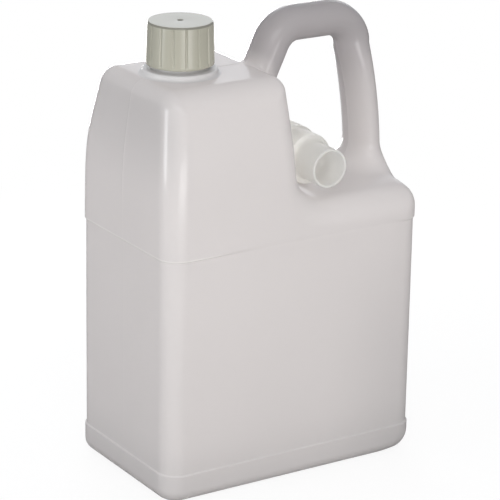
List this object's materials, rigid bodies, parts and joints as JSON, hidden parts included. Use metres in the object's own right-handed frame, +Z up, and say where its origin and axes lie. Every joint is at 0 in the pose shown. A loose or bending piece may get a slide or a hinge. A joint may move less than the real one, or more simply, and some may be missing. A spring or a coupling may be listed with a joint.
{
  "type": "spouted jug",
  "caption": "Rectangular blow-moulded plastic jug with a tall end that carries a ribbed screw cap, a loop handle over its low end and a pouring spout stowed in the notch between them.",
  "frame": {"origin": "middle of the base on the plane that the jug stands on", "axes": "+Z up, +X along the wide faces from the tall end with the cap to the low end with the handle leg, +Y through the depth to the back face"},
  "size_m": [0.196, 0.12, 0.3055],
  "materials": {
    "container_body": "milky natural polyethylene, satin, faintly translucent",
    "cap_plastic": "satin moulded polypropylene",
    "liner_foam": "white foamed liner",
    "spout_plastic": "natural translucent polyethylene, slightly warm"
  },
  "bodies": {
    "jug": {"container": "container_body", "pouring_spout": "spout_plastic"},
    "liner": {"cap_liner": "liner_foam"},
    "cap": {"screw_cap": "cap_plastic"}
  },
  "joints": [
    {"name": "cap_lift", "type": "slide", "parent": "jug", "child": "liner", "axis": [0, 0, 1], "range_m": [0, 0.0085]},
    {"name": "cap_turn", "type": "hinge", "parent": "liner", "child": "cap", "pos_m": [-0.0552, 0, 0.29], "axis": [0, 0, 1], "range_deg": [0, 720]}
  ],
  "couplings": [
    {"joint": "cap_lift", "follows": "cap_turn", "m_per_rad": 0.00066845}
  ]
}
